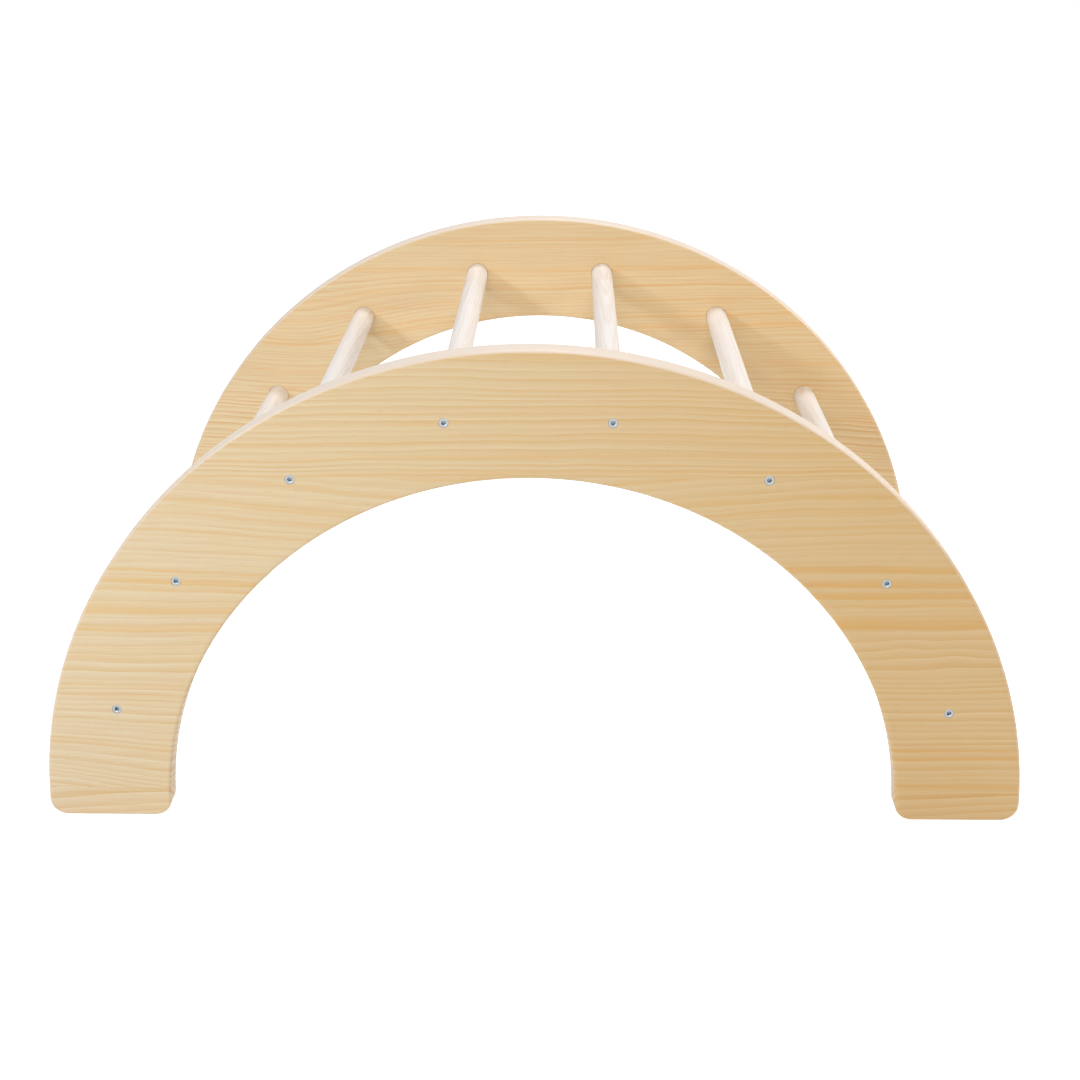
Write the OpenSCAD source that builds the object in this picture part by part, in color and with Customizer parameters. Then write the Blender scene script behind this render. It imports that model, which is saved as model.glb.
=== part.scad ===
// Wooden rocker arch for small children: two half-ring side panels of pine,
// joined by round pine rungs that are screwed through the panels.
// It stands on its four cut feet as a climbing arch. Turned over, it rocks on
// the round outer edges.
// Origin on the floor under the middle of the arch. +X runs along the arch,
// +Y from the front panel to the rear one, and +Z up. Sizes are millimetres.

/* [Arch] */
// Radius of the outer edge, on which the arch rocks
outer_radius = 475; // [450:5:520]
// Radius of the inner edge
inner_radius = 355; // [320:5:380]
// Width over both side panels
overall_width = 600; // [450:10:750]

/* [Side panels] */
// Thickness of a side panel
panel_thickness = 26; // [24:1:32]
// Radius of the round corners of the feet
foot_corner_radius = 17; // [10:1:25]
// Radius to which every edge of a panel is rounded over
edge_round = 3; // [1:0.5:5]

/* [Rungs] */
// Number of rungs
rung_count = 8; // [6:1:9]
// Diameter of a rung
rung_diameter = 25; // [22:1:32]
// Angle of the lowest rungs above the floor
first_rung_angle = 16.5; // [12:0.5:25]
// Chamfer on the ends of a rung
rung_chamfer = 1; // [0.5:0.5:2]
// Depth of the blind socket that takes the end of a rung
socket_depth = 8; // [5:1:12]
// Gap between a rung and the wall of its socket
socket_gap = 0.3; // [0.1:0.1:0.5]

/* [Screws] */
// Length of a screw, with its head
screw_length = 50; // [40:5:70]
// Diameter of the countersunk head
head_diameter = 9; // [8.5:0.5:12]
// Height of the straight rim of the head
head_rim = 0.6; // [0.4:0.2:1.2]
// Included angle of the cone under the head
head_angle = 90; // [75:5:100]
// Depth of the head below the face of the panel
head_sink = 0.3; // [0.1:0.1:1]
// Diameter of the smooth neck under the head
neck_diameter = 6.4; // [6.2:0.2:7]
// Length of the head and the smooth neck together
neck_length = 15; // [12:1:18]
// Diameter over the threads
thread_diameter = 6; // [5:0.2:6]
// Length of the blunt point
point_length = 4; // [3:0.5:6]
// Diameter of the flat end of the point
point_diameter = 2.6; // [1.5:0.1:3.5]
// Width across the flats of the hexagon socket
hex_width = 4; // [3:0.5:5]
// Depth of the hexagon socket
hex_depth = 3; // [2:0.5:4]
// Gap between a screw and the hole drilled for it
drill_gap = 0.1; // [0.05:0.05:0.2]

/* [Hidden] */
$fn = 96;
// Facets in a full turn of the long arcs
arc_facets = 360;
// Length by which a cut starts outside the face that it cuts
overcut = 1;

panel_color = [0.87, 0.74, 0.56];
rung_color = [0.95, 0.89, 0.79];
screw_color = [0.73, 0.76, 0.80];

// Thickness of wood left between a socket and the outer face of the panel
web = panel_thickness - socket_depth;
// The ends of a rung stand on the floors of its two sockets
rung_length = overall_width - 2 * web;
// The rungs stand on the middle line of the ring
rung_circle_radius = (outer_radius + inner_radius) / 2;
rung_step = (180 - 2 * first_rung_angle) / (rung_count - 1);

// Each foot has two round corners. Their centres lie one corner radius above
// the floor, and their arcs run on smoothly into the outer and the inner edge
// at the angles given here, seen from the centre of the arch.
outer_corner_x = sqrt(pow(outer_radius - foot_corner_radius, 2) - pow(foot_corner_radius, 2));
inner_corner_x = sqrt(pow(inner_radius + foot_corner_radius, 2) - pow(foot_corner_radius, 2));
outer_corner_angle = asin(foot_corner_radius / (outer_radius - foot_corner_radius));
inner_corner_angle = asin(foot_corner_radius / (inner_radius + foot_corner_radius));

// Each corner carries a little more than half of the floor edge of its foot
floor_length = 0.6 * (outer_corner_x - inner_corner_x);

rungs = [1 : rung_count];

// ---- Places ----

// Angle of a rung, counted from the floor on the left, as seen from the front
function rung_angle(i) = first_rung_angle + (i - 1) * rung_step;

// Centre of a rung in the plane of the arch, as [x, height]
function rung_centre(i) = rung_circle_radius * [-cos(rung_angle(i)), sin(rung_angle(i))];

// A side panel is drawn lying down: its outer face is at z = 0, the wood is
// below it, and y is the height. This stands it up as the front or rear side.
module at_side(rear) {
    rotate([0, 0, rear ? 180 : 0])
        translate([0, -overall_width / 2, 0])
            rotate([90, 0, 0])
                children();
}

// Place of rung i on a panel that is still lying down. Turning the rear side
// round swaps left and right, so its rungs are counted the other way.
module at_rung(i, rear) {
    centre = rung_centre(i);
    translate([(rear ? -1 : 1) * centre.x, centre.y, 0])
        children();
}

// ---- Side panels ----

// Moves to [x, y] in two steps, a coarse one and the small rest, so that no
// digit is lost where two arcs have to run on smoothly.
module move_finely(to) {
    coarse = [round(to.x), round(to.y), 0];
    translate(coarse)
        translate([to.x, to.y, 0] - coarse)
            children();
}

// What rounding over takes off the corner of a section. The corner is at the
// origin, with the wood above it and to its right.
module edge_waste() {
    difference() {
        translate([-overcut, -overcut])
            square(edge_round + overcut);
        translate([edge_round, edge_round])
            circle(edge_round);
    }
}

// Section across a panel from x = near to x = far, as thick as the panel, with
// the far edges rounded over, and the near ones too if both is true
module board_section(near, far, both = false) {
    difference() {
        translate([near, -panel_thickness / 2])
            square([far - near, panel_thickness]);
        for (face = [0, 1])
            mirror([0, face]) {
                translate([far, -panel_thickness / 2])
                    mirror([1, 0])
                        edge_waste();
                if (both)
                    translate([near, -panel_thickness / 2])
                        edge_waste();
            }
    }
}

// The arch itself, still cut square and sharp at the floor
module half_ring() {
    rotate_extrude(angle = 180, $fn = arc_facets)
        board_section(inner_radius, outer_radius, both = true);
}

// Runs for each of the four round corners of the feet, with its centre at the
// origin. $edge_angle is the direction in which its arc meets the long edge,
// and $inwards is 1 or -1, towards the middle of the foot.
module at_foot_corners() {
    for (side = [0, 1])
        mirror([side, 0, 0]) {
            move_finely([outer_corner_x, foot_corner_radius])
                let ($edge_angle = outer_corner_angle, $inwards = -1)
                    children();
            move_finely([inner_corner_x, foot_corner_radius])
                let ($edge_angle = 180 + inner_corner_angle, $inwards = 1)
                    children();
        }
}

// Block that holds the arc of a round corner and all the wood outside it
module corner_block() {
    along_edge = [cos($edge_angle), sin($edge_angle)];
    past_corner = [-$inwards, -1];
    linear_extrude(panel_thickness + 2 * overcut, center = true)
        polygon(2 * foot_corner_radius * [[0, 0], along_edge, past_corner, [0, -1]]);
}

// Block that holds the bottom of the foot, from the corner past its middle
module floor_block() {
    translate([0, -2 * foot_corner_radius, -panel_thickness / 2 - overcut])
        mirror([($inwards - 1) / 2, 0, 0])
            cube([floor_length, 2 * foot_corner_radius, panel_thickness + 2 * overcut]);
}

// Round corner: one rounded-over section that turns about the corner's centre
// and then runs straight along the floor
module round_corner() {
    intersection() {
        rotate_extrude()
            board_section(0, foot_corner_radius);
        corner_block();
    }
    mirror([($inwards - 1) / 2, 0, 0])
        rotate([90, 0, 90])
            linear_extrude(floor_length)
                mirror([1, 0])
                    board_section(0, foot_corner_radius);
}

// The board before it is drilled. The square corners and the sharp floor edge
// of its feet are cut away, and round ones are put back.
module panel_board() {
    difference() {
        half_ring();
        at_foot_corners() {
            corner_block();
            floor_block();
        }
    }
    at_foot_corners()
        round_corner();
}

// Half-ring side panel with its blind rung sockets and countersunk holes
module side_panel(rear) {
    color(panel_color)
        at_side(rear)
            difference() {
                translate([0, 0, -panel_thickness / 2])
                    panel_board();
                for (i = rungs)
                    at_rung(i, rear) {
                        translate([0, 0, -panel_thickness - overcut])
                            cylinder(d = rung_diameter + 2 * socket_gap, h = socket_depth + overcut);
                        screw_form(drill_gap, overcut);
                    }
            }
}

// ---- Screws ----

// Half section of a screw, or of the hole for it, which is wider by gap all
// round. Only the cone is not widened, because the head is seated on it.
function screw_section(gap, above) =
    let (
        head_r = head_diameter / 2 + gap,
        neck_r = neck_diameter / 2 + gap,
        thread_r = thread_diameter / 2 + gap,
        slope = tan(head_angle / 2),
        rim_end = head_rim - gap / slope,
        cone_end = rim_end + (head_r - neck_r) / slope,
        end = screw_length + gap
    ) [
        [0, above],
        [head_r, above],
        [head_r, -rim_end],
        [neck_r, -cone_end],
        [neck_r, -neck_length - gap],
        [thread_r, -neck_length - gap],
        [thread_r, -end + point_length],
        [point_diameter / 2 + gap, -end],
        [0, -end]
    ];

// Solid of that section, at the depth of the head below the face
module screw_form(gap = 0, above = 0) {
    translate([0, 0, -head_sink])
        rotate_extrude()
            polygon(screw_section(gap, above));
}

// Screw with a hexagon socket in its head
module screw(i, rear) {
    color(screw_color)
        at_side(rear)
            at_rung(i, rear)
                difference() {
                    screw_form();
                    translate([0, 0, -head_sink - hex_depth])
                        cylinder(d = hex_width / cos(30), h = hex_depth + overcut, $fn = 6);
                }
}

// ---- Rungs ----

// Round rung between the floors of two sockets, drilled for a screw at each end
module rung(i) {
    radius = rung_diameter / 2;
    end = rung_length / 2;
    centre = rung_centre(i);
    color(rung_color)
        difference() {
            translate([centre.x, 0, centre.y])
                rotate([90, 0, 0])
                    rotate_extrude()
                        polygon([
                            [0, -end],
                            [radius - rung_chamfer, -end],
                            [radius, -end + rung_chamfer],
                            [radius, end - rung_chamfer],
                            [radius - rung_chamfer, end],
                            [0, end]
                        ]);
            for (rear = [false, true])
                at_side(rear)
                    at_rung(i, rear)
                        screw_form(drill_gap);
        }
}

// ---- The whole arch ----

side_panel(rear = false);  // front_panel
side_panel(rear = true);  // rear_panel
for (i = rungs) {
    rung(i);
    screw(i, rear = false);
    screw(i, rear = true);
}
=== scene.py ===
import math

import bpy
from mathutils import Euler, Matrix, Vector


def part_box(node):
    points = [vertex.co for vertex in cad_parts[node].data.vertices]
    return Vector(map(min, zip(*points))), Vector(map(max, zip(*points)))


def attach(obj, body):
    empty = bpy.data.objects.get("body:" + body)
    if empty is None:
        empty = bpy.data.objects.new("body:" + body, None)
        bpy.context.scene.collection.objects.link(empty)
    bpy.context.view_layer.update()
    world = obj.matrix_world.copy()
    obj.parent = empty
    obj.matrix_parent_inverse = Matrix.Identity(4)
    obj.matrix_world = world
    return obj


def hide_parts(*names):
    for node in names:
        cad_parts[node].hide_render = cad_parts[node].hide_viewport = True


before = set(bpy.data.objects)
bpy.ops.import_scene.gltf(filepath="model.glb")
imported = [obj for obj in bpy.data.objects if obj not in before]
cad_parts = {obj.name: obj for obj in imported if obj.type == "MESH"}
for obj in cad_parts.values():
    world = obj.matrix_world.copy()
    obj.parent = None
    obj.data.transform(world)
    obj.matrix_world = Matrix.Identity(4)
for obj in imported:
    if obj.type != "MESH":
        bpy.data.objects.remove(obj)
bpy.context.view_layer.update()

# ---- Camera ----
# Where the photograph was taken from: 1.7 m in front of the arch's middle, a
# little to its right and 0.87 m above the floor, looking down on it.

MM = 0.001
photo_width_px = 1080
focal_length_px = 1630.0
lens_centre_px = Vector((528.1, 508.0))
camera_place_mm = Vector((36.0, -1678.4, 868.8))
pitch_down_deg = 21.453
yaw_left_deg = 1.525
roll_deg = -0.421

camera = bpy.data.objects.new("camera", bpy.data.cameras.new("camera"))
camera.data.lens = camera.data.sensor_width * focal_length_px / photo_width_px
camera.data.shift_x = 0.5 - lens_centre_px.x / photo_width_px
camera.data.shift_y = lens_centre_px.y / photo_width_px - 0.5
heading = Euler((math.radians(90 - pitch_down_deg), 0, math.radians(yaw_left_deg)))
turn = heading.to_matrix() @ Matrix.Rotation(math.radians(roll_deg), 3, "Z")
camera.matrix_world = Matrix.Translation(camera_place_mm * MM) @ turn.to_4x4()
bpy.context.collection.objects.link(camera)
bpy.context.scene.camera = camera

# ---- Floor, background and lights ----
# A white studio: a big sheet of paper that reads as plain white, a cool key
# light in front on the left and a warm wide one further off, one that grazes
# the panels from the right, one overhead, and two behind for rungs, rims and back.


def linear(hex_colour):
    """A colour written as sRGB hex, as the linear RGBA that Blender works in."""
    parts = [int(hex_colour[i : i + 2], 16) / 255 for i in (1, 3, 5)]
    return (*(p / 12.92 if p <= 0.04045 else ((p + 0.055) / 1.055) ** 2.4 for p in parts), 1)


def add(tree, kind, values=None, **settings):
    """Adds a node. Values go to its input sockets by name or number: another
    node's output is linked, and anything else is set. Settings are its own."""
    node = tree.nodes.new(kind)
    for name, value in settings.items():
        setattr(node, name, value)
    for socket, value in (values or {}).items():
        for each in value if isinstance(value, list) else [value]:
            if isinstance(each, bpy.types.NodeSocket):
                tree.links.new(each, node.inputs[socket])
            else:
                node.inputs[socket].default_value = each
    return node


floor_half_width = 9.0
floor_white = linear("#F1F3F5")
glow_near_arch = 0.64
glow_far_away = 1.0
glow_near_m = 0.7
glow_far_m = 2.2
room_light = 0.09
room_warmth = linear("#FFE2BE")


def background_rays(tree):
    """1 for a ray that comes straight from the camera, or by way of a mirror
    or glass, and 0 for the rays that light the object."""
    path = add(tree, "ShaderNodeLightPath")
    seen = add(tree, "ShaderNodeMath", {
        0: path.outputs["Is Camera Ray"], 1: path.outputs["Is Glossy Ray"]}, operation="MAXIMUM")
    return add(tree, "ShaderNodeMath", {
        0: seen.outputs[0], 1: path.outputs["Is Transmission Ray"]}, operation="MAXIMUM").outputs[0]


def paper_material():
    """Matt white background paper, which shows the arch's shadow near it and
    runs out to plain white further away."""
    material = bpy.data.materials.new("background_paper")
    material.use_nodes = True
    tree = material.node_tree
    tree.nodes.clear()
    paper = add(tree, "ShaderNodeBsdfDiffuse", {"Color": floor_white})
    place = add(tree, "ShaderNodeTexCoord").outputs["Object"]
    distance = add(tree, "ShaderNodeVectorMath", {0: place}, operation="LENGTH")
    strength = add(tree, "ShaderNodeMapRange", {
        "Value": distance.outputs["Value"], "From Min": glow_near_m, "From Max": glow_far_m,
        "To Min": glow_near_arch, "To Max": glow_far_away}, interpolation_type="SMOOTHSTEP")
    glow = add(tree, "ShaderNodeEmission", {
        "Color": (1, 1, 1, 1), "Strength": strength.outputs["Result"]})
    both = add(tree, "ShaderNodeAddShader", {0: paper.outputs[0], 1: glow.outputs[0]})
    shown = add(tree, "ShaderNodeMixShader", {
        0: background_rays(tree), 1: paper.outputs[0], 2: both.outputs[0]})
    add(tree, "ShaderNodeOutputMaterial", {"Surface": shown.outputs[0]})
    return material


floor_mesh = bpy.data.meshes.new("floor")
floor_corners = [
    (x * floor_half_width, y * floor_half_width, 0)
    for x, y in ((-1, -1), (1, -1), (1, 1), (-1, 1))]
floor_mesh.from_pydata(floor_corners, [], [(0, 1, 2, 3)])
floor_mesh.materials.append(paper_material())
floor = bpy.data.objects.new("floor", floor_mesh)
bpy.context.collection.objects.link(floor)

world = bpy.data.worlds.new("studio")
world.use_nodes = True
world.node_tree.nodes.clear()
room = add(world.node_tree, "ShaderNodeBackground", {"Color": room_warmth, "Strength": room_light})
white = add(world.node_tree, "ShaderNodeBackground", {"Color": (1, 1, 1, 1), "Strength": 1.0})
sky = add(world.node_tree, "ShaderNodeMixShader", {
    0: background_rays(world.node_tree), 1: room.outputs[0], 2: white.outputs[0]})
add(world.node_tree, "ShaderNodeOutputWorld", {"Surface": sky.outputs[0]})
bpy.context.scene.world = world
arch_middle = Vector((0, 0, 0.25))


def soft_box(name, place, width, height, watts, colour):
    """A rectangular light that faces the middle of the arch."""
    light = bpy.data.lights.new(name, "AREA")
    light.shape = "RECTANGLE"
    light.size = width
    light.size_y = height
    light.energy = watts
    light.color = linear(colour)[:3]
    box = bpy.data.objects.new(name, light)
    aim = arch_middle - Vector(place)
    box.matrix_world = Matrix.Translation(place) @ aim.to_track_quat("-Z", "Y").to_matrix().to_4x4()
    bpy.context.collection.objects.link(box)


soft_box("key_box", (-1.9, -1.5, 1.7), 0.4, 0.4, 26.5, "#E2EEFF")
soft_box("front_box", (-0.5, -3.9, 2.4), 2.4, 1.5, 80, "#FFEEDC")
soft_box("side_box", (2.3, -0.22, 1.4), 0.7, 0.7, 17, "#FFFBF6")
soft_box("top_box", (0.6, -0.4, 2.4), 1.2, 1.2, 6, "#FFFFFF")
soft_box("back_box", (0.15, 0.9, 2.5), 0.5, 0.5, 24, "#F4F8FF")
soft_box("rear_box", (3.2, 3.0, 1.7), 1.6, 1.2, 32, "#F8FAFF")
bpy.context.scene.view_settings.view_transform = "Standard"

# ---- Side panels ----
# Two half rings sawn from 26 mm pine board, edge-glued from staves that run
# along the floor, with every edge rounded over by a 3 mm router bit. Eight blind
# sockets inside take the rungs, and eight countersunk holes outside the screws.

board_low, board_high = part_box("front_panel")
outer_radius = board_high.z
inner_radius = 355 * MM
foot_corner_radius = 17 * MM
edge_round = 3 * MM
thickness = board_high.y - board_low.y
arc_step_deg = 1.0
corner_step_deg = 6.0
edge_round_steps = 6
weld_distance = 0.01 * MM
sharp_edge_deg = 28


def arc(centre, radius, start_deg, end_deg, step_deg):
    """Points along an arc, both ends included."""
    steps = max(1, round(abs(end_deg - start_deg) / step_deg))
    angles = [math.radians(start_deg + (end_deg - start_deg) * i / steps) for i in range(steps + 1)]
    return [(centre[0] + radius * math.cos(a), centre[1] + radius * math.sin(a)) for a in angles]


def board_outline():
    """The half ring with round foot corners, anticlockwise from its right foot."""
    outer_corner = outer_radius - foot_corner_radius
    inner_corner = inner_radius + foot_corner_radius
    outer_x = math.sqrt(outer_corner ** 2 - foot_corner_radius ** 2)
    inner_x = math.sqrt(inner_corner ** 2 - foot_corner_radius ** 2)
    outer_deg = math.degrees(math.asin(foot_corner_radius / outer_corner))
    inner_deg = math.degrees(math.asin(foot_corner_radius / inner_corner))
    corner = foot_corner_radius
    return (
        arc((outer_x, corner), corner, -90, outer_deg, corner_step_deg)[:-1]
        + arc((0, 0), outer_radius, outer_deg, 180 - outer_deg, arc_step_deg)
        + arc((-outer_x, corner), corner, 180 - outer_deg, 270, corner_step_deg)[1:]
        + arc((-inner_x, corner), corner, -90, -inner_deg, corner_step_deg)[:-1]
        + arc((0, 0), inner_radius, 180 - inner_deg, inner_deg, arc_step_deg)
        + arc((inner_x, corner), corner, 180 + inner_deg, 270, corner_step_deg)[1:]
    )


def new_tree(name, sizes):
    """A Geometry Nodes tree with a named input for each size, and its inputs."""
    kinds = {int: "NodeSocketInt", float: "NodeSocketFloat", Vector: "NodeSocketVector"}
    tree = bpy.data.node_groups.new(name, "GeometryNodeTree")
    tree.interface.new_socket("Geometry", in_out="INPUT", socket_type="NodeSocketGeometry")
    for size, value in sizes.items():
        tree.interface.new_socket(size, in_out="INPUT", socket_type=kinds[type(value)])
    tree.interface.new_socket("Geometry", in_out="OUTPUT", socket_type="NodeSocketGeometry")
    return tree, add(tree, "NodeGroupInput").outputs


def finish_tree(tree, parts, material):
    """Joins and welds the parts, smooths them and gives them their material."""
    joined = add(tree, "GeometryNodeJoinGeometry", {"Geometry": parts})
    real = add(tree, "GeometryNodeRealizeInstances", {"Geometry": joined.outputs[0]})
    welded = add(tree, "GeometryNodeMergeByDistance", {
        "Geometry": real.outputs[0], "Distance": weld_distance})
    smooth = add(tree, "GeometryNodeSetShadeSmooth", {"Geometry": welded.outputs[0]})
    painted = add(tree, "GeometryNodeSetMaterial", {
        "Geometry": smooth.outputs[0], "Material": material})
    add(tree, "NodeGroupOutput", {"Geometry": painted.outputs[0]})


def grow(name, tree, sizes, outline=()):
    """Runs a tree on a closed outline, if it needs one, and keeps what comes
    out as one plain mesh, with its sharp edges marked."""
    curve = bpy.data.curves.new(name + "_outline", "CURVE")
    curve.dimensions = "3D"
    if outline:
        spline = curve.splines.new("POLY")
        spline.points.add(len(outline) - 1)
        for point, (x, y) in zip(spline.points, outline):
            point.co = (x, y, 0, 1)
        spline.use_cyclic_u = True
    host = bpy.data.objects.new(name + "_outline", curve)
    bpy.context.collection.objects.link(host)
    modifier = host.modifiers.new("shape", "NODES")
    modifier.node_group = tree
    for item in tree.interface.items_tree:
        if item.in_out == "INPUT" and item.name in sizes:
            modifier[item.identifier] = sizes[item.name]
    made = host.evaluated_get(bpy.context.evaluated_depsgraph_get())
    mesh = bpy.data.meshes.new_from_object(made)
    bpy.data.objects.remove(host)
    mesh.name = name
    mesh.set_sharp_from_angle(angle=math.radians(sharp_edge_deg))
    piece = bpy.data.objects.new(name, mesh)
    bpy.context.collection.objects.link(piece)
    return piece


# A ring this small is welded into one point, and closes a turned part
pole = 0.002 * MM


def turned(tree, sides, rings):
    """A part turned on a lathe about Z: a skin through the rings, each given as
    its radius and its depth below the top."""
    circle = add(tree, "GeometryNodeMeshCircle", {"Vertices": sides, "Radius": 1.0})
    here = add(tree, "GeometryNodeInputPosition")
    kept = add(tree, "GeometryNodeCaptureAttribute", {"Geometry": circle.outputs[0]})
    kept.capture_items.new("VECTOR", "Outwards")
    tree.links.new(here.outputs[0], kept.inputs["Outwards"])
    skin, edge = kept.outputs["Geometry"], None
    for radius, depth in rings:
        if edge is not None:
            longer = add(tree, "GeometryNodeExtrudeMesh", {
                "Mesh": skin, "Selection": edge, "Offset Scale": 0.0}, mode="EDGES")
            skin, edge = longer.outputs["Mesh"], longer.outputs["Top"]
        out = add(tree, "ShaderNodeVectorMath", {
            0: kept.outputs["Outwards"], "Scale": radius}, operation="SCALE")
        down = add(tree, "ShaderNodeCombineXYZ", {"Z": depth})
        place = add(tree, "ShaderNodeVectorMath", {
            0: out.outputs[0], 1: down.outputs[0]}, operation="SUBTRACT")
        values = {"Geometry": skin, "Position": place.outputs[0]}
        if edge is None:
            edge = True
        else:
            values["Selection"] = edge
        skin = add(tree, "GeometryNodeSetPosition", values).outputs[0]
    return skin


# What the machines cut for each rung and its screws, from the outer face in
rung_count = 8
rung_boxes = [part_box(f"rung_{i + 1}") for i in range(rung_count)]
rung_centres = [(low + high) / 2 for low, high in rung_boxes]
first_rung_angle = math.atan2(rung_centres[0].z, -rung_centres[0].x)
board_sizes = {
    "Thickness": thickness,
    "Edge Round": edge_round,
    "Edge Width": 2 * edge_round,
    "Outer Face": board_low.y,
    "Turned Round": 0.0,
    "Rung Count": rung_count,
    "Rung Circle Radius": math.hypot(rung_centres[0].x, rung_centres[0].z),
    "First Rung Angle": first_rung_angle,
    "Rung Sweep": math.pi - 2 * first_rung_angle,
    "Countersink Radius": 4.6 * MM,
    "Countersink Rim": 0.8 * MM,
    "Countersink Depth": 2.1 * MM,
    "Hole Radius": 3.3 * MM,
    "Socket Radius": 12.8 * MM,
    "Socket Floor": 18 * MM,
}
hole_sides = 48


def board_face(tree, rim, rung_places, hole_radius, depth):
    """A flat face of the board, with a round hole at each rung."""
    circle = add(tree, "GeometryNodeMeshCircle", {"Vertices": hole_sides, "Radius": hole_radius})
    holes = add(tree, "GeometryNodeInstanceOnPoints", {
        "Points": rung_places, "Instance": circle.outputs[0]})
    real = add(tree, "GeometryNodeRealizeInstances", {"Geometry": holes.outputs[0]})
    loops = add(tree, "GeometryNodeMeshToCurve", {"Mesh": real.outputs[0]})
    both = add(tree, "GeometryNodeJoinGeometry", {"Geometry": [loops.outputs[0], rim]})
    face = add(tree, "GeometryNodeFillCurve", {"Curve": both.outputs[0]})
    offset = add(tree, "ShaderNodeCombineXYZ", {"Z": depth})
    down = add(tree, "ShaderNodeVectorMath", {1: offset.outputs[0]}, operation="SUBTRACT")
    return add(tree, "GeometryNodeTransform", {
        "Geometry": face.outputs[0], "Translation": down.outputs[0]})


def board_tree(name, material):
    """The board is made lying down and then stood up on its feet. A rounded
    edge runs round its outline and two drilled faces close it."""
    tree, size = new_tree(name, board_sizes)
    corners = [add(tree, "ShaderNodeCombineXYZ", {"X": x, "Y": y}) for x, y in (
        (0.0, size["Thickness"]), (size["Edge Width"], size["Thickness"]),
        (size["Edge Width"], 0.0), (0.0, 0.0))]
    section = add(tree, "GeometryNodeCurvePrimitiveQuadrilateral", {
        f"Point {i + 1}": corner.outputs[0] for i, corner in enumerate(corners)}, mode="POINTS")
    opened = add(tree, "GeometryNodeSetSplineCyclic", {
        "Geometry": section.outputs[0], "Cyclic": False})
    rounded = add(tree, "GeometryNodeFilletCurve", {
        "Curve": opened.outputs[0], "Count": edge_round_steps, "Radius": size["Edge Round"]},
        mode="POLY")
    inset = add(tree, "ShaderNodeVectorMath", {1: corners[1].outputs[0]}, operation="SUBTRACT")
    shift = add(tree, "ShaderNodeVectorMath", {
        0: inset.outputs[0], 1: (1, 0, 0)}, operation="MULTIPLY")
    profile = add(tree, "GeometryNodeTransform", {
        "Geometry": rounded.outputs[0], "Translation": shift.outputs[0]})
    band = add(tree, "GeometryNodeCurveToMesh", {
        "Curve": size["Geometry"], "Profile Curve": profile.outputs[0]}).outputs[0]

    # The band's open edges, which have one face and not two, are the rims of the
    # board's faces
    neighbours = add(tree, "GeometryNodeInputMeshEdgeNeighbors")
    rim = add(tree, "FunctionNodeCompare", {
        "A": neighbours.outputs[0], "B": 1.5}, operation="LESS_THAN")
    height = add(tree, "ShaderNodeSeparateXYZ", {
        0: add(tree, "GeometryNodeInputPosition").outputs[0]})
    rims = []
    for operation in ("GREATER_THAN", "LESS_THAN"):
        level = add(tree, "FunctionNodeCompare", {
            "A": height.outputs["Z"], "B": -edge_round}, operation=operation)
        side = add(tree, "FunctionNodeBooleanMath", {0: rim.outputs[0], 1: level.outputs[0]})
        rims.append(add(tree, "GeometryNodeMeshToCurve", {
            "Mesh": band, "Selection": side.outputs[0]}).outputs[0])
    places = add(tree, "GeometryNodeCurveArc", {
        "Resolution": size["Rung Count"], "Radius": size["Rung Circle Radius"],
        "Start Angle": size["First Rung Angle"], "Sweep Angle": size["Rung Sweep"]},
        mode="RADIUS").outputs[0]
    outside = board_face(tree, rims[0], places, size["Countersink Radius"], 0.0)
    inside = board_face(tree, rims[1], places, size["Socket Radius"], size["Thickness"])
    hole = turned(tree, hole_sides, [
        (size["Countersink Radius"], 0.0),
        (size["Countersink Radius"], size["Countersink Rim"]),
        (size["Hole Radius"], size["Countersink Depth"]),
        (size["Hole Radius"], size["Socket Floor"]),
        (size["Socket Radius"], size["Socket Floor"]),
        (size["Socket Radius"], size["Thickness"]),
    ])
    holes = add(tree, "GeometryNodeInstanceOnPoints", {"Points": places, "Instance": hole})

    inwards = add(tree, "GeometryNodeJoinGeometry", {
        "Geometry": [band, holes.outputs[0], inside.outputs[0]]})
    flipped = add(tree, "GeometryNodeFlipFaces", {"Mesh": inwards.outputs[0]})
    lying = add(tree, "GeometryNodeJoinGeometry", {
        "Geometry": [flipped.outputs[0], outside.outputs[0]]})
    forward = add(tree, "ShaderNodeCombineXYZ", {"Y": size["Outer Face"]})
    stood = add(tree, "GeometryNodeTransform", {
        "Geometry": lying.outputs[0], "Translation": forward.outputs[0],
        "Rotation": (math.pi / 2, 0, 0)})
    side = add(tree, "ShaderNodeCombineXYZ", {"Z": size["Turned Round"]})
    placed = add(tree, "GeometryNodeTransform", {
        "Geometry": stood.outputs[0], "Rotation": side.outputs[0]})
    finish_tree(tree, [placed.outputs[0]], material)
    return tree


# Pine, planed, sanded and sealed with a clear satin lacquer. It shows a pale
# straw earlywood, amber latewood lines 3 to 10 mm apart that end sharply on
# their outer side, broader bands of heartwood, and short darker dashes where
# resin canals are cut. The pattern is solid, so a face, a round edge and end
# grain all agree.
straw = linear("#E6DCBE")
latewood_tan = linear("#DAB56C")
spring_cream = linear("#EFE6CF")
amber = linear("#E4C07E")
rosy = linear("#E0C3A0")
# Partly painted shade: this riper gold also darkens the boards towards the right, where the lamps
# on the left reach less
riper_gold_and_shade = linear("#F3E4C9")
resin_brown = linear("#A9743F")
end_grain_pink = linear("#CDA27E")
# Painted highlight: the outer rim is painted this paler cream for the light that falls on the top
# edges
rim_highlight_cream = linear("#E8DBCE")

# How the pattern is laid out, in millimetres and in years of growth
steepest_slope = 0.1
lowest_heart = -300.0
highest_heart = 700.0
deepest_heart = 200.0
years_to_a_spell = 9
spell_shifts_years = 4.5
band_edge = 1.2
half_blend = 60.0
rim_starts = 440.0
rim_is_full = 455.0
# Where the riper tone and its painted shade begin and are full along the board
unripe_lit_end = -500.0
ripe_shaded_end = 320.0


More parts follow.
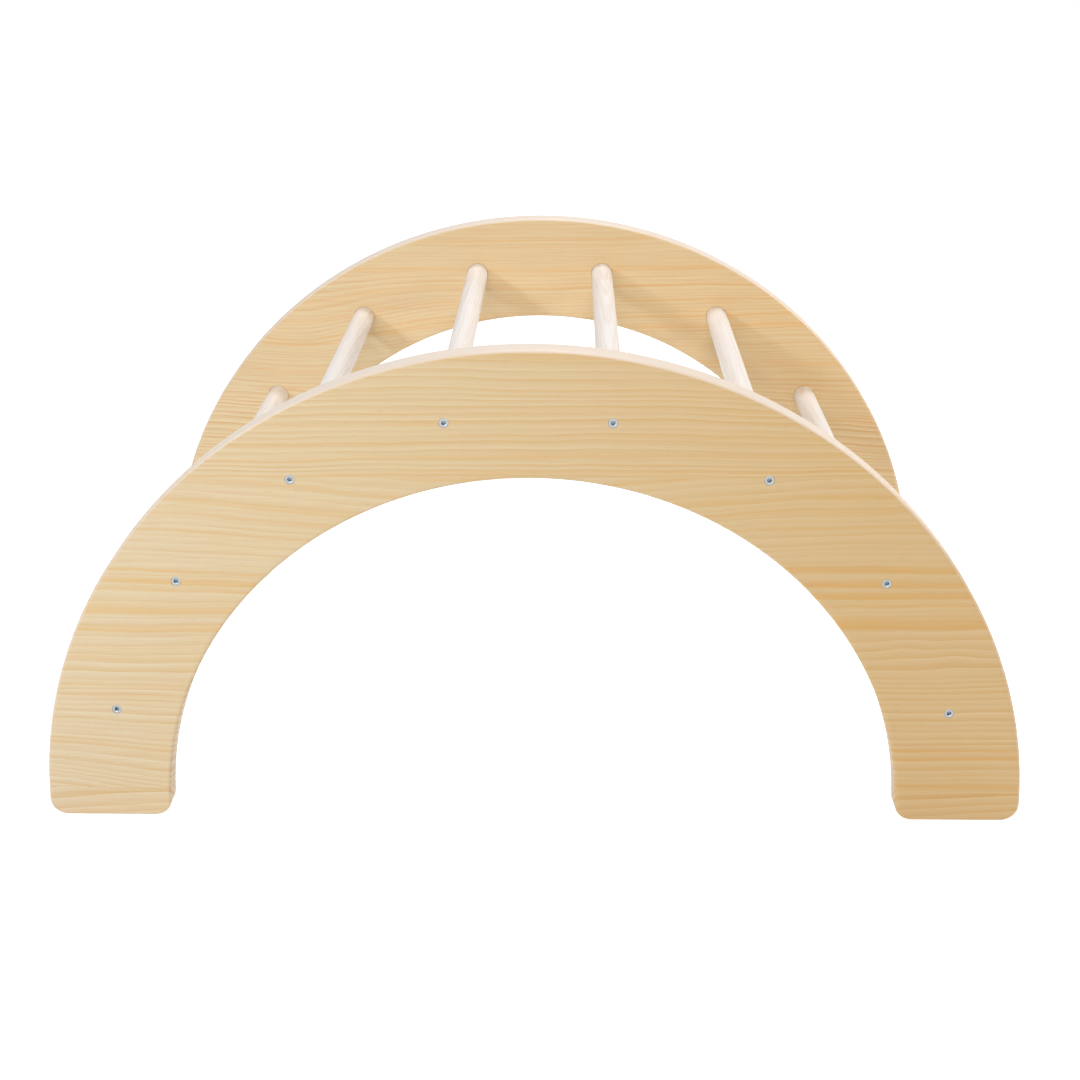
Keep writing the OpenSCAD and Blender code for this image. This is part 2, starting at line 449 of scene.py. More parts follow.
def set_ramp(node, stops, interpolation):
    """Gives a colour ramp its stops, each a place from 0 to 1 and a colour."""
    ramp = node.color_ramp
    ramp.interpolation = interpolation
    while len(ramp.elements) < len(stops):
        ramp.elements.new(1.0)
    for element, (place, colour) in zip(ramp.elements, sorted(stops)):
        element.position = place
        element.color = (*colour, 1)
    return node


def band_stops(bands, top):
    """Stops for bands with a sharp lower edge that fade upwards, each given as
    its lower edge, its height and its strength."""
    stops = []
    for bottom, fade, amount in bands:
        stops += [(bottom - band_edge, 0), (bottom, amount), (bottom + fade, 0)]
    return [(level / top, (amount,) * 3) for level, amount in stops]


def pine_material(name, timber, fibre, attribute=None):
    """The wood of one board or rung. Its grain runs along the first of its
    coordinates, the second is its depth and the third is its height."""
    material = bpy.data.materials.new(name)
    material.use_nodes = True
    tree = material.node_tree
    tree.nodes.clear()
    object_space = add(tree, "ShaderNodeTexCoord")
    source = object_space.outputs["Object"]
    if attribute:
        source = add(tree, "ShaderNodeAttribute", attribute_name=attribute).outputs["Vector"]
    millimetres = add(tree, "ShaderNodeVectorMath", {
        0: source, "Scale": 1 / MM}, operation="SCALE").outputs[0]
    here = add(tree, "ShaderNodeSeparateXYZ", {0: millimetres})
    along, depth, height = here.outputs

    def streaks(length, width, detail):
        """Noise with features as long and as wide as given, in millimetres."""
        drawn = add(tree, "ShaderNodeMapping", {
            "Vector": millimetres, "Scale": (1 / length, 1 / width, 1 / width)})
        return add(tree, "ShaderNodeTexNoise", {
            "Vector": drawn.outputs[0], "Scale": 1.0, "Detail": detail}).outputs["Fac"]

    # Each stave has its own heart, tone and run of the grain
    level = add(tree, "ShaderNodeMath", {0: height, 1: timber["top"]}, operation="DIVIDE")

    def of_stave(first, last):
        """Three columns of the table of staves, for the stave that is here."""
        stops = [(stave[0] / timber["top"], stave[first : last + 1]) for stave in timber["staves"]]
        row = set_ramp(add(tree, "ShaderNodeValToRGB", {0: level.outputs[0]}), stops, "CONSTANT")
        return add(tree, "ShaderNodeSeparateColor", {0: row.outputs[0]}).outputs

    heart_z, heart_y, rosiness = of_stave(1, 3)
    slope, knottiness, boldness = of_stave(4, 6)

    # The trunk's slow bends, its small waves and the knots beside the board
    # lift and drop the lines
    slow_bend = add(tree, "ShaderNodeMapRange", {
        "Value": streaks(340, 130, 1), "To Min": -timber["bend"], "To Max": timber["bend"]})
    small_wave = add(tree, "ShaderNodeMapRange", {
        "Value": streaks(75, 26, 1), "To Min": -timber["wave"], "To Max": timber["wave"]})
    slant = add(tree, "ShaderNodeMapRange", {
        "Value": slope, "To Min": -steepest_slope, "To Max": steepest_slope})
    slanted = add(tree, "ShaderNodeMath", {
        0: along, 1: slant.outputs[0], 2: slow_bend.outputs[0]}, operation="MULTIPLY_ADD")
    lift = add(tree, "ShaderNodeMath", {0: slanted.outputs[0], 1: small_wave.outputs[0]})
    for x, z, half_width, half_height, rise in timber["knots"]:
        from_knot = add(tree, "ShaderNodeVectorMath", {
            0: millimetres, 1: (x, 0, z)}, operation="SUBTRACT")
        in_widths = add(tree, "ShaderNodeVectorMath", {
            0: from_knot.outputs[0], 1: (1 / half_width, 0, 1 / half_height)}, operation="MULTIPLY")
        squared = add(tree, "ShaderNodeVectorMath", {
            0: in_widths.outputs[0], 1: in_widths.outputs[0]}, operation="DOT_PRODUCT")
        swelling = add(tree, "ShaderNodeMath", {
            0: 0.5, 1: squared.outputs["Value"]}, operation="POWER")
        raised = add(tree, "ShaderNodeMath", {
            0: swelling.outputs[0], 1: knottiness}, operation="MULTIPLY")
        lift = add(tree, "ShaderNodeMath", {
            0: raised.outputs[0], 1: rise, 2: lift.outputs[0]}, operation="MULTIPLY_ADD")
    bent = add(tree, "ShaderNodeMath", {
        0: height, 1: lift.outputs[0]}, operation="SUBTRACT").outputs[0]

    heart_height = add(tree, "ShaderNodeMapRange", {
        "Value": heart_z, "To Min": lowest_heart, "To Max": highest_heart})
    heart_depth = add(tree, "ShaderNodeMapRange", {
        "Value": heart_y, "To Min": timber["depth"] - deepest_heart,
        "To Max": timber["depth"] + deepest_heart})
    above = add(tree, "ShaderNodeMath", {0: bent, 1: heart_height.outputs[0]}, operation="SUBTRACT")
    behind = add(tree, "ShaderNodeMath", {
        0: depth, 1: heart_depth.outputs[0]}, operation="SUBTRACT")
    from_heart = add(tree, "ShaderNodeCombineXYZ", {"Y": behind.outputs[0], "Z": above.outputs[0]})
    distance = add(tree, "ShaderNodeVectorMath", {
        0: from_heart.outputs[0]}, operation="LENGTH").outputs["Value"]
    taper = add(tree, "ShaderNodeMath", {0: along, 1: timber["taper"]}, operation="MULTIPLY")
    radius = add(tree, "ShaderNodeMath", {0: distance, 1: taper.outputs[0]}).outputs[0]

    # Growth rings, wide in good spells and narrow in bad ones, with a soft inner
    # side and a sharp outer one. Some are strong and some weak, and each fades
    # and comes back along its length.
    years = add(tree, "ShaderNodeMath", {0: radius, 1: timber["ring_width"]}, operation="DIVIDE")
    slow_years = add(tree, "ShaderNodeMath", {
        0: radius, 1: years_to_a_spell * timber["ring_width"]}, operation="DIVIDE")
    weather = add(tree, "ShaderNodeTexNoise", {
        "W": slow_years.outputs[0], "Scale": 1.0, "Detail": 2.0}, noise_dimensions="1D")
    shifted = add(tree, "ShaderNodeMath", {
        0: weather.outputs["Fac"], 1: spell_shifts_years, 2: years.outputs[0]},
        operation="MULTIPLY_ADD")
    within = add(tree, "ShaderNodeMath", {0: shifted.outputs[0]}, operation="FRACT")
    ring = add(tree, "ShaderNodeMath", {0: shifted.outputs[0]}, operation="FLOOR")
    # Through a year, red tells how far it is latewood and green how far spring
    year = set_ramp(add(tree, "ShaderNodeValToRGB", {0: within.outputs[0]}), [
        (0.0, (0.0, 1.0, 0.0)), (0.3, (0.1, 0.4, 0.0)), (0.75, (0.65, 0.0, 0.0)),
        (0.9, (1.0, 0.0, 0.0)), (1.0, (0.0, 1.0, 0.0))], "EASE")
    line, spring, _ = add(tree, "ShaderNodeSeparateColor", {0: year.outputs[0]}).outputs
    chance = add(tree, "ShaderNodeTexWhiteNoise", {"W": ring.outputs[0]}, noise_dimensions="1D")
    strong = add(tree, "ShaderNodeMapRange", {
        "Value": chance.outputs["Value"], "To Min": 0.4, "To Max": 1.0})
    fading = add(tree, "ShaderNodeMapRange", {
        "Value": streaks(170, 5, 1), "From Min": 0.35, "From Max": 0.65,
        "To Min": 0.5, "To Max": 1.0})
    shown = add(tree, "ShaderNodeMath", {
        0: strong.outputs[0], 1: fading.outputs[0]}, operation="MULTIPLY")
    bold = add(tree, "ShaderNodeMath", {0: shown.outputs[0], 1: boldness}, operation="MULTIPLY")
    vivid = add(tree, "ShaderNodeMath", {
        0: bold.outputs[0], 1: timber["contrast"]}, operation="MULTIPLY").outputs[0]
    latewood = add(tree, "ShaderNodeMath", {
        0: line, 1: vivid}, operation="MULTIPLY", use_clamp=True).outputs[0]
    springwood = add(tree, "ShaderNodeMath", {
        0: spring, 1: vivid}, operation="MULTIPLY", use_clamp=True).outputs[0]
    blush = add(tree, "ShaderNodeMath", {
        0: streaks(160, 40, 1), 1: timber["blush"], 2: rosiness},
        operation="MULTIPLY_ADD", use_clamp=True)
    ground = add(tree, "ShaderNodeMix", {
        0: blush.outputs[0], 6: timber["earlywood"], 7: rosy}, data_type="RGBA")
    paler = add(tree, "ShaderNodeMix", {
        0: springwood, 6: ground.outputs[2], 7: timber["springwood"]}, data_type="RGBA")
    colour = add(tree, "ShaderNodeMix", {
        0: latewood, 6: paler.outputs[2], 7: timber["latewood"]}, data_type="RGBA").outputs[2]

    # Broad bands of heartwood, which differ at the left, at the right and above
    if timber["bands"]:
        bent_level = add(tree, "ShaderNodeMath", {0: bent, 1: timber["top"]}, operation="DIVIDE")
        left, right, high = [
            set_ramp(add(tree, "ShaderNodeValToRGB", {0: bent_level.outputs[0]}),
                     band_stops(bands, timber["top"]), "EASE").outputs[0]
            for bands in timber["bands"]]
        rightness = add(tree, "ShaderNodeMapRange", {
            "Value": along, "From Min": -half_blend, "From Max": half_blend})
        band = add(tree, "ShaderNodeMix", {0: rightness.outputs[0], 2: left, 3: right})
        every = add(tree, "ShaderNodeMath", {0: band.outputs[0], 1: high}, operation="MAXIMUM")
        uneven = add(tree, "ShaderNodeMapRange", {
            "Value": streaks(150, 6, 2), "From Min": 0.3, "From Max": 0.7,
            "To Min": 0.6, "To Max": 1.15})
        amount = add(tree, "ShaderNodeMath", {
            0: every.outputs[0], 1: uneven.outputs[0]}, operation="MULTIPLY", use_clamp=True)
        colour = add(tree, "ShaderNodeMix", {
            0: amount.outputs[0], 6: colour, 7: timber["amber"]}, data_type="RGBA").outputs[2]

    # The wood ripens to a warmer tone along the board, and it is also painted darker
    # towards the right as painted shade, where the lamps on the left reach less
    ripeness_and_shade = add(tree, "ShaderNodeMapRange", {
        "Value": along, "From Min": unripe_lit_end, "From Max": ripe_shaded_end,
        "To Max": timber["ripening_and_shade"]})
    riper_and_shaded = add(tree, "ShaderNodeMix", {
        0: ripeness_and_shade.outputs[0], 6: colour, 7: riper_gold_and_shade}, data_type="RGBA", blend_type="MULTIPLY")

    # Fibres too fine to show singly, drawn 0.9 mm wide, and the resin canals
    fibres = add(tree, "ShaderNodeMapRange", {
        "Value": streaks(60, 0.9, 2), "From Min": 0.4, "From Max": 0.75, "To Max": 0.3})
    combed = add(tree, "ShaderNodeMix", {
        0: fibres.outputs[0], 6: riper_and_shaded.outputs[2], 7: timber["latewood"]}, data_type="RGBA")
    canals = add(tree, "ShaderNodeMapRange", {
        "Value": streaks(8, 0.5, 0), "From Min": 0.74, "From Max": 0.8, "To Max": 0.25})
    flecked = add(tree, "ShaderNodeMix", {
        0: canals.outputs[0], 6: combed.outputs[2], 7: resin_brown}, data_type="RGBA")

    # The edges: the outer rim, on which the arch rocks, is painted paler than the
    # face, a painted highlight for the light that falls on the top edges. End grain
    # drinks more lacquer, so it is darker and its lines are stronger. The rim is told
    # by how far it is from the middle.
    facing = add(tree, "ShaderNodeVectorMath", {
        0: object_space.outputs["Normal"], 1: fibre}, operation="DOT_PRODUCT")
    squarely = add(tree, "ShaderNodeMath", {0: facing.outputs["Value"]}, operation="ABSOLUTE")
    end_grain = add(tree, "ShaderNodeMapRange", {
        "Value": squarely.outputs[0], "From Min": 0.5, "From Max": 1.0})
    open_pores = add(tree, "ShaderNodeMath", {0: line, 1: 0.6, 2: 0.15}, operation="MULTIPLY_ADD")
    soaked = add(tree, "ShaderNodeMath", {
        0: end_grain.outputs[0], 1: open_pores.outputs[0]}, operation="MULTIPLY")
    across = add(tree, "ShaderNodeSeparateXYZ", {0: object_space.outputs["Normal"]})
    flat = add(tree, "ShaderNodeMath", {0: across.outputs["Y"]}, operation="ABSOLUTE")
    # Painted highlight on the round edges of the outer rim
    highlight_on_edges = add(tree, "ShaderNodeMapRange", {
        "Value": flat.outputs[0], "From Min": 0.98, "From Max": 0.8, "To Max": timber["painted_rim_highlight"]})
    from_middle = add(tree, "ShaderNodeVectorMath", {
        0: millimetres, 1: (1, 0, 1)}, operation="MULTIPLY")
    reach = add(tree, "ShaderNodeVectorMath", {0: from_middle.outputs[0]}, operation="LENGTH")
    rim = add(tree, "ShaderNodeMapRange", {
        "Value": reach.outputs["Value"], "From Min": rim_starts, "From Max": rim_is_full})
    side_grain = add(tree, "ShaderNodeMath", {
        0: rim.outputs[0], 1: end_grain.outputs[0]}, operation="SUBTRACT", use_clamp=True)
    pale = add(tree, "ShaderNodeMath", {
        0: highlight_on_edges.outputs[0], 1: side_grain.outputs[0]}, operation="MULTIPLY")
    edged = add(tree, "ShaderNodeMix", {
        0: pale.outputs[0], 6: flecked.outputs[2], 7: rim_highlight_cream}, data_type="RGBA")
    ended = add(tree, "ShaderNodeMix", {
        0: soaked.outputs[0], 6: edged.outputs[2], 7: end_grain_pink}, data_type="RGBA")

    gloss = add(tree, "ShaderNodeMapRange", {
        "Value": streaks(60, 3, 2), "To Min": 0.42, "To Max": 0.56})
    relief = add(tree, "ShaderNodeBump", {
        "Height": fibres.outputs[0], "Strength": 0.2, "Distance": 0.05 * MM})
    shader = add(tree, "ShaderNodeBsdfPrincipled", {
        "Base Color": ended.outputs[2], "Roughness": gloss.outputs[0], "Normal": relief.outputs[0],
        "Coat Weight": 0.15, "Coat Roughness": 0.3})
    add(tree, "ShaderNodeOutputMaterial", {"Surface": shader.outputs[0]})
    return material


# The wood of each board, in millimetres: its height, the depth of its middle,
# the width of a growth ring, how far the lines bend and wave, and how fast they
# taper. Then come shares from 0 to 1: how much riper and darker it is at the
# right, partly its own tone and partly painted shade, how pale its rim is
# painted as a highlight, how strong its lines are and how far it blushes in
# patches.
# Each stave, from the floor up, has the height where it begins, and then, as
# parts of their ranges, the height and depth of its heart, how rosy it is, how
# its lines slope, how far it feels the knots, and how bold its lines are.
# A knot has its place, how far along and how far up its lift has halved, and
# the lift. A band has its lower edge, its height and its strength, and the bands
# are those at the left, at the right and above.
front_timber = {
    "top": 475.0, "depth": -287.0, "ring_width": 6.8, "bend": 7.0, "wave": 2.4, "taper": 0.01,
    "ripening_and_shade": 1.0, "painted_rim_highlight": 0.85, "contrast": 0.85, "blush": 0.25,
    "earlywood": straw, "springwood": spring_cream, "latewood": latewood_tan, "amber": amber,
    "staves": [
        (0, 0.50, 0.95, 0.2, 0.78, 0.0, 1.0),
        (31, 0.75, 0.90, 0.10, 0.50, 1.0, 0.8),
        (213, 0.95, 0.80, 0.0, 0.50, 0.6, 0.5),
        (356, 0.15, 0.60, 0.0, 0.53, 0.0, 0.7),
    ],
    "knots": [
        (-500, 45, 90, 60, 24), (-70, 330, 150, 60, -38),
        (350, 186, 16, 12, 3), (398, 178, 18, 12, 3),
    ],
    "bands": [
        [(68, 7, 0.5), (129, 6, 0.4), (141, 5, 0.35), (171, 7, 0.5), (184, 4, 0.4),
         (202, 9, 0.75), (219.5, 19, 0.65), (243, 5, 0.8), (250.5, 10, 0.9), (263.5, 4, 0.7)],
        [(16, 6, 0.9), (26, 6, 0.9), (35, 6, 0.7), (67, 5, 0.8), (76, 5, 0.7),
         (207, 18, 0.95), (228, 5, 0.6), (236, 8, 0.95), (247, 9, 1.0), (262, 10, 0.9)],
        [(306, 6, 0.4), (323, 7, 0.45), (336, 8, 0.5), (360, 5, 0.45), (374, 7, 0.5),
         (389, 12, 0.3), (407, 5, 0.25), (417, 5, 0.25), (437, 4, 0.3), (467, 6, 0.45)],
    ],
}
rear_timber = front_timber | {
    "depth": 287.0, "ring_width": 4.8, "bend": 14.0, "ripening_and_shade": 0.5, "contrast": 0.75,
    "earlywood": linear("#EADBB4"), "springwood": linear("#F1E4C2"), "latewood": linear("#DAA45A"),
    "amber": linear("#EABB72"),
    "staves": [
        (0, 0.95, 0.2, 0.1, 0.5, 0.0, 1.0),
        (120, 0.2, 0.1, 0.1, 0.45, 0.0, 1.0),
        (260, 0.9, 0.2, 0.1, 0.53, 1.0, 0.7),
        (405, 0.15, 0.3, 0.1, 0.5, 0.0, 0.4),
    ],
    "knots": [(-300, 330, 90, 50, -30)],
    "bands": [
        [(60, 8, 0.5), (150, 7, 0.5), (300, 6, 0.4), (345, 8, 0.4)],
        [(40, 8, 0.5), (130, 7, 0.5), (222, 8, 0.5), (290, 6, 0.5), (338, 8, 0.5)],
        [(352, 8, 0.35), (372, 7, 0.3), (391, 6, 0.35), (414, 9, 0.4), (452, 6, 0.35)],
    ],
}

panels = (("front_panel", front_timber, 0.0), ("rear_panel", rear_timber, math.pi))
for name, timber, turned_round in panels:
    wood = pine_material(name + "_lacquered_pine", timber, (1, 0, 0))
    board_sizes["Turned Round"] = turned_round
    panel = grow(name + "_board", board_tree(name, wood), board_sizes, board_outline())
    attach(panel, "root")
    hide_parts(name)

# ---- Rungs ----
# Eight round pine rungs, planed and sanded smooth. Each end stands in a blind
# socket and is drilled down its middle for a screw.

rung_low, rung_high = rung_boxes[0]
rung_sizes = {
    "Radius": (rung_high.z - rung_low.z) / 2,
    "Half Length": (rung_high.y - rung_low.y) / 2,
    "Chamfer": 1 * MM,
    "Pilot Radius": 3.1 * MM,
    "Pilot Depth": 28.4 * MM,
    "Tip Radius": 1.4 * MM,
    "Tip Depth": 32.4 * MM,
    "Place": Vector(),
    "Grain Turn": 0.0,
    "Grain Shift": Vector(),
}
rung_sides = 48


def rung_tree(name, material):
    """Half a rung is turned from the bottom of its drilled hole to its middle,
    and the other half is the same one turned end for end. The grain's own
    coordinates stay on the wood: the first runs along the rung."""
    tree, size = new_tree(name, rung_sizes)
    end_radius = add(tree, "ShaderNodeMath", {
        0: size["Radius"], 1: size["Chamfer"]}, operation="SUBTRACT")
    half_rung = turned(tree, rung_sides, [
        (pole, size["Tip Depth"]),
        (size["Tip Radius"], size["Tip Depth"]),
        (size["Pilot Radius"], size["Pilot Depth"]),
        (size["Pilot Radius"], 0.0),
        (end_radius.outputs[0], 0.0),
        (size["Radius"], size["Chamfer"]),
        (size["Radius"], size["Half Length"]),
    ])
    up = add(tree, "ShaderNodeCombineXYZ", {"Z": size["Half Length"]})
    top = add(tree, "GeometryNodeTransform", {"Geometry": half_rung, "Translation": up.outputs[0]})
    bottom = add(tree, "GeometryNodeTransform", {
        "Geometry": top.outputs[0], "Rotation": (math.pi, 0, 0)})
    whole = add(tree, "GeometryNodeJoinGeometry", {"Geometry": [top.outputs[0], bottom.outputs[0]]})
    here = add(tree, "GeometryNodeInputPosition")
    laid = add(tree, "ShaderNodeVectorRotate", {
        "Vector": here.outputs[0], "Rotation": (0, math.pi / 2, 0)}, rotation_type="EULER_XYZ")
    rolled = add(tree, "ShaderNodeVectorRotate", {
        "Vector": laid.outputs[0], "Angle": size["Grain Turn"]}, rotation_type="X_AXIS")
    grain = add(tree, "ShaderNodeVectorMath", {0: rolled.outputs[0], 1: size["Grain Shift"]})
    marked = add(tree, "GeometryNodeStoreNamedAttribute", {
        "Geometry": whole.outputs[0], "Name": "grain", "Value": grain.outputs[0]},
        data_type="FLOAT_VECTOR", domain="POINT")
    placed = add(tree, "GeometryNodeTransform", {
        "Geometry": marked.outputs[0], "Translation": size["Place"],
        "Rotation": (math.pi / 2, 0, 0)})
    finish_tree(tree, [placed.outputs[0]], material)
    return tree


# Paler sapwood than the boards, with finer lines that run out in arcs
rung_timber = {
    "top": 1000.0, "depth": 0.0, "ring_width": 3.0, "bend": 5.0, "wave": 1.2, "taper": 0.03,
    "ripening_and_shade": 0.0, "painted_rim_highlight": 0.0, "contrast": 0.45, "blush": 0.06,
    "earlywood": linear("#F3F1EE"), "springwood": linear("#F9F8F6"), "latewood": linear("#DDBB98"),
    "staves": [(0, 0.3, 0.5, 0.0, 0.5, 0.0, 1.0)], "knots": [], "bands": [],
}
rung_wood = pine_material("rung_lacquered_pine", rung_timber, (0, 1, 0), attribute="grain")
rung_shape = rung_tree("rung", rung_wood)

# Each rung is cut from another place in the timber, off its heart, and turned
grain_turn = 0.9
grain_shift = 0.7
off_heart = (0.02, 0.05)
for number, centre in enumerate(rung_centres, 1):
    rung_sizes["Place"] = centre
    rung_sizes["Grain Turn"] = grain_turn * number
    rung_sizes["Grain Shift"] = Vector((grain_shift * number, *off_heart))
    rung = grow(f"rung_{number}_dowel", rung_shape, rung_sizes)
    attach(rung, "root")
    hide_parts(f"rung_{number}")

# ---- Screws ----
# Sixteen bright zinc-plated steel screws, one into each end of each rung. The
# countersunk head has a hexagon socket, below it comes a smooth neck, and the
# coarse thread ends in a blunt point.

screw_low, screw_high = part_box("screw_front_1")
screw_face = -screw_low.y
screw_sizes = {
    "Head Radius": (screw_high.x - screw_low.x) / 2,
    "Head Rim": 0.6 * MM,
    "Head Edge": 0.15 * MM,
    "Cone Depth": 1.9 * MM,
    "Neck Radius": 3.2 * MM,
    "Neck Depth": 15 * MM,
    "Core Radius": 2.1 * MM,
    "Thread Start": 16 * MM,
    "Thread Length": 30 * MM,
    "Thread Height": 0.9 * MM,
    "Thread Pitch": 3 * MM,
    "Point Radius": 1.3 * MM,
    "Length": screw_high.y - screw_low.y,
    "Hexagon Width": 4 * MM,
    "Hexagon Depth": 3 * MM,
    "Mouth Radius": 2.55 * MM,
    "Mouth Depth": 0.3 * MM,
    "Seed": 7,
    "Screw Number": 1,
    "Place": Vector(),
    "Turned Round": 0.0,
}
screw_sides = 36
rows_in_a_turn = 8


def hexagon_radius(tree, size):
    """How far the wall of the hexagon socket is from the middle of the screw,
    in the direction of each point of the ring that it is worked out on."""
    here = add(tree, "ShaderNodeSeparateXYZ", {
        0: add(tree, "GeometryNodeInputPosition").outputs[0]})
    angle = add(tree, "ShaderNodeMath", {
        0: here.outputs["Y"], 1: here.outputs["X"]}, operation="ARCTAN2")
    from_flat = add(tree, "ShaderNodeMath", {
        0: angle.outputs[0], 1: math.pi / 6}, operation="PINGPONG")
    cosine = add(tree, "ShaderNodeMath", {0: from_flat.outputs[0]}, operation="COSINE")
    apothem = add(tree, "ShaderNodeMath", {0: size["Hexagon Width"], 1: 0.5}, operation="MULTIPLY")
    return add(tree, "ShaderNodeMath", {
        0: apothem.outputs[0], 1: cosine.outputs[0]}, operation="DIVIDE")


def screw_thread(tree, size):
    """The threaded length: a tube whose skin is raised to a ridge where its
    turns and its height agree. The ridge dies away at both ends."""
    turns = add(tree, "ShaderNodeMath", {
        0: size["Thread Length"], 1: size["Thread Pitch"]}, operation="DIVIDE")
    rows = add(tree, "ShaderNodeMath", {
        0: turns.outputs[0], 1: rows_in_a_turn}, operation="MULTIPLY")
    tube = add(tree, "GeometryNodeMeshCylinder", {
        "Vertices": screw_sides, "Side Segments": rows.outputs[0],
        "Radius": size["Core Radius"], "Depth": size["Thread Length"]}, fill_type="NONE")
    position = add(tree, "GeometryNodeInputPosition").outputs[0]
    here = add(tree, "ShaderNodeSeparateXYZ", {0: position})
    angle = add(tree, "ShaderNodeMath", {
        0: here.outputs["Y"], 1: here.outputs["X"]}, operation="ARCTAN2")
    round_turns = add(tree, "ShaderNodeMath", {
        0: angle.outputs[0], 1: 2 * math.pi}, operation="DIVIDE")
    high_turns = add(tree, "ShaderNodeMath", {
        0: here.outputs["Z"], 1: size["Thread Pitch"]}, operation="DIVIDE")
    phase = add(tree, "ShaderNodeMath", {
        0: high_turns.outputs[0], 1: round_turns.outputs[0]}, operation="SUBTRACT")
    wave = add(tree, "ShaderNodeMath", {0: phase.outputs[0], 1: 0.5}, operation="PINGPONG")
    ridge = add(tree, "ShaderNodeMapRange", {
        "Value": wave.outputs[0], "From Min": 0.25, "From Max": 0.5,
        "To Max": size["Thread Height"]})
    half_length = add(tree, "ShaderNodeMath", {
        0: size["Thread Length"], 1: 0.5}, operation="MULTIPLY")
    from_middle = add(tree, "ShaderNodeMath", {0: here.outputs["Z"]}, operation="ABSOLUTE")
    from_end = add(tree, "ShaderNodeMath", {
        0: half_length.outputs[0], 1: from_middle.outputs[0]}, operation="SUBTRACT")
    fade = add(tree, "ShaderNodeMapRange", {
        "Value": from_end.outputs[0], "From Max": size["Thread Pitch"]})
    rise = add(tree, "ShaderNodeMath", {
        0: ridge.outputs[0], 1: fade.outputs[0]}, operation="MULTIPLY")
    level = add(tree, "ShaderNodeVectorMath", {0: position, 1: (1, 1, 0)}, operation="MULTIPLY")
    outwards = add(tree, "ShaderNodeVectorMath", {0: level.outputs[0]}, operation="NORMALIZE")
    lift = add(tree, "ShaderNodeVectorMath", {
        0: outwards.outputs[0], "Scale": rise.outputs[0]}, operation="SCALE")
    cut = add(tree, "GeometryNodeSetPosition", {
        "Geometry": tube.outputs["Mesh"], "Offset": lift.outputs[0]})
    middle = add(tree, "ShaderNodeMath", {0: size["Thread Start"], 1: half_length.outputs[0]})
    down = add(tree, "ShaderNodeCombineXYZ", {"Z": middle.outputs[0]})
    offset = add(tree, "ShaderNodeVectorMath", {1: down.outputs[0]}, operation="SUBTRACT")
    return add(tree, "GeometryNodeTransform", {
        "Geometry": cut.outputs[0], "Translation": offset.outputs[0]})


def screw_tree(name, material):
    """A screw is made head up, turned by chance about its own axis, and then
    driven into the panel."""
    tree, size = new_tree(name, screw_sizes)
    hexagon = hexagon_radius(tree, size).outputs[0]
    face = add(tree, "ShaderNodeMath", {
        0: size["Head Radius"], 1: size["Head Edge"]}, operation="SUBTRACT")
    thread_end = add(tree, "ShaderNodeMath", {0: size["Thread Start"], 1: size["Thread Length"]})
    head = turned(tree, screw_sides, [
        (pole, size["Hexagon Depth"]),
        (hexagon, size["Hexagon Depth"]),
        (hexagon, size["Mouth Depth"]),
        (size["Mouth Radius"], 0.0),
        (face.outputs[0], 0.0),
        (size["Head Radius"], size["Head Edge"]),
        (size["Head Radius"], size["Head Rim"]),
        (size["Neck Radius"], size["Cone Depth"]),
        (size["Neck Radius"], size["Neck Depth"]),
        (size["Core Radius"], size["Thread Start"]),
    ])
    point = turned(tree, screw_sides, [
        (size["Core Radius"], thread_end.outputs[0]),
        (size["Point Radius"], size["Length"]),
        (pole, size["Length"]),
    ])
    thread = screw_thread(tree, size)
    whole = add(tree, "GeometryNodeJoinGeometry", {"Geometry": [head, thread.outputs[0], point]})
    chance = add(tree, "FunctionNodeRandomValue", {
        2: 0.0, 3: math.pi / 3, "ID": size["Screw Number"], "Seed": size["Seed"]},
        data_type="FLOAT")
    spin = add(tree, "ShaderNodeCombineXYZ", {"Z": chance.outputs[1]})
    spun = add(tree, "GeometryNodeTransform", {
        "Geometry": whole.outputs[0], "Rotation": spin.outputs[0]})
    driven = add(tree, "ShaderNodeCombineXYZ", {"X": math.pi / 2, "Z": size["Turned Round"]})
    placed = add(tree, "GeometryNodeTransform", {
        "Geometry": spun.outputs[0], "Translation": size["Place"], "Rotation": driven.outputs[0]})
    finish_tree(tree, [placed.outputs[0]], material)
    return tree
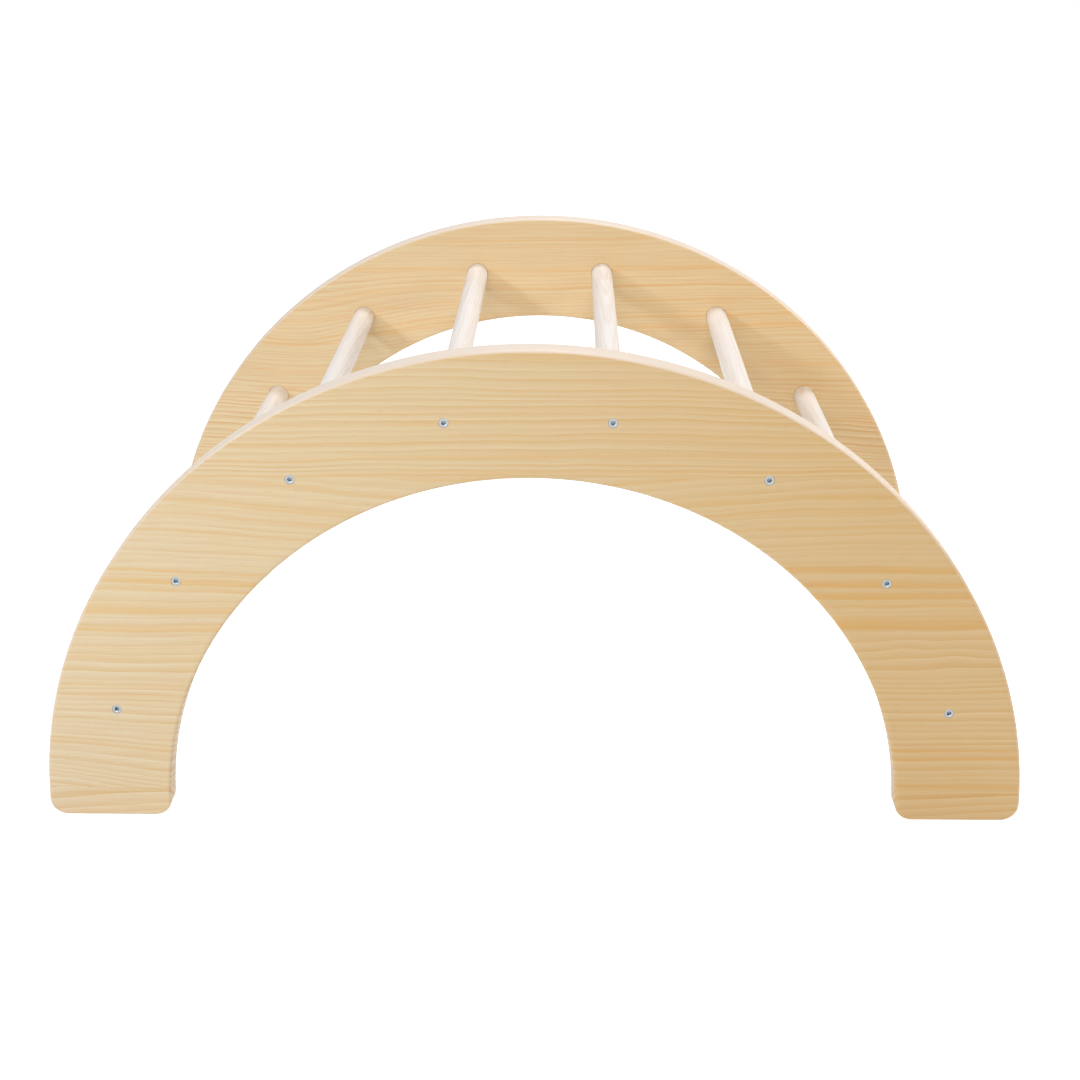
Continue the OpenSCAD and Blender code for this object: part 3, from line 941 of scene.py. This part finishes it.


# The plate's tones, the painted shade of its socket, the size of its clouds, and
# how far below the face of the screw that painted shade is full and is gone
zinc_dark = linear("#8D979E")
zinc_light = linear("#B4BBC0")
zinc_socket_shade = linear("#858E95")
cloud_size = 1.2 * MM
socket_shade_full_depth = 2.5 * MM
socket_shade_gone_depth = 0.3 * MM


def zinc_material():
    """Carbon steel screws, given a bright zinc coat by barrel plating: a cool pale metal
    with a soft shine, and faint cloudy patches where they rubbed together. Down in
    the socket the colour is painted darker, as painted shade."""
    material = bpy.data.materials.new("bright_zinc_plate")
    material.use_nodes = True
    tree = material.node_tree
    tree.nodes.clear()
    place = add(tree, "ShaderNodeTexCoord").outputs["Object"]
    clouds = add(tree, "ShaderNodeTexNoise", {
        "Vector": place, "Scale": 1 / cloud_size, "Detail": 3.0})
    tint = add(tree, "ShaderNodeMix", {
        0: clouds.outputs["Fac"], 6: zinc_dark, 7: zinc_light}, data_type="RGBA")
    across = add(tree, "ShaderNodeSeparateXYZ", {0: place})
    outwards = add(tree, "ShaderNodeMath", {0: across.outputs["Y"]}, operation="ABSOLUTE")
    # Painted shade: deeper down in the socket the colour goes darker
    out_of_socket_shade = add(tree, "ShaderNodeMapRange", {
        "Value": outwards.outputs[0], "From Min": screw_face - socket_shade_full_depth,
        "From Max": screw_face - socket_shade_gone_depth})
    shaded = add(tree, "ShaderNodeMix", {
        0: out_of_socket_shade.outputs[0], 6: zinc_socket_shade, 7: tint.outputs[2]}, data_type="RGBA")
    rubbed = add(tree, "ShaderNodeMapRange", {
        "Value": clouds.outputs["Fac"], "To Min": 0.22, "To Max": 0.5})
    shader = add(tree, "ShaderNodeBsdfPrincipled", {
        "Base Color": shaded.outputs[2], "Metallic": 1.0, "Roughness": rubbed.outputs[0]})
    add(tree, "ShaderNodeOutputMaterial", {"Surface": shader.outputs[0]})
    return material


screw_shape = screw_tree("screw", zinc_material())
for number in range(1, rung_count + 1):
    for side, turned_round in (("front", 0.0), ("rear", math.pi)):
        node = f"screw_{side}_{number}"
        low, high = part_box(node)
        head_y = low.y if side == "front" else high.y
        screw_sizes["Place"] = Vector(((low.x + high.x) / 2, head_y, (low.z + high.z) / 2))
        screw_sizes["Turned Round"] = turned_round
        screw_sizes["Screw Number"] = number if side == "front" else number + rung_count
        screw = grow(node + "_zinc", screw_shape, screw_sizes)
        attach(screw, "root")
        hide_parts(node)
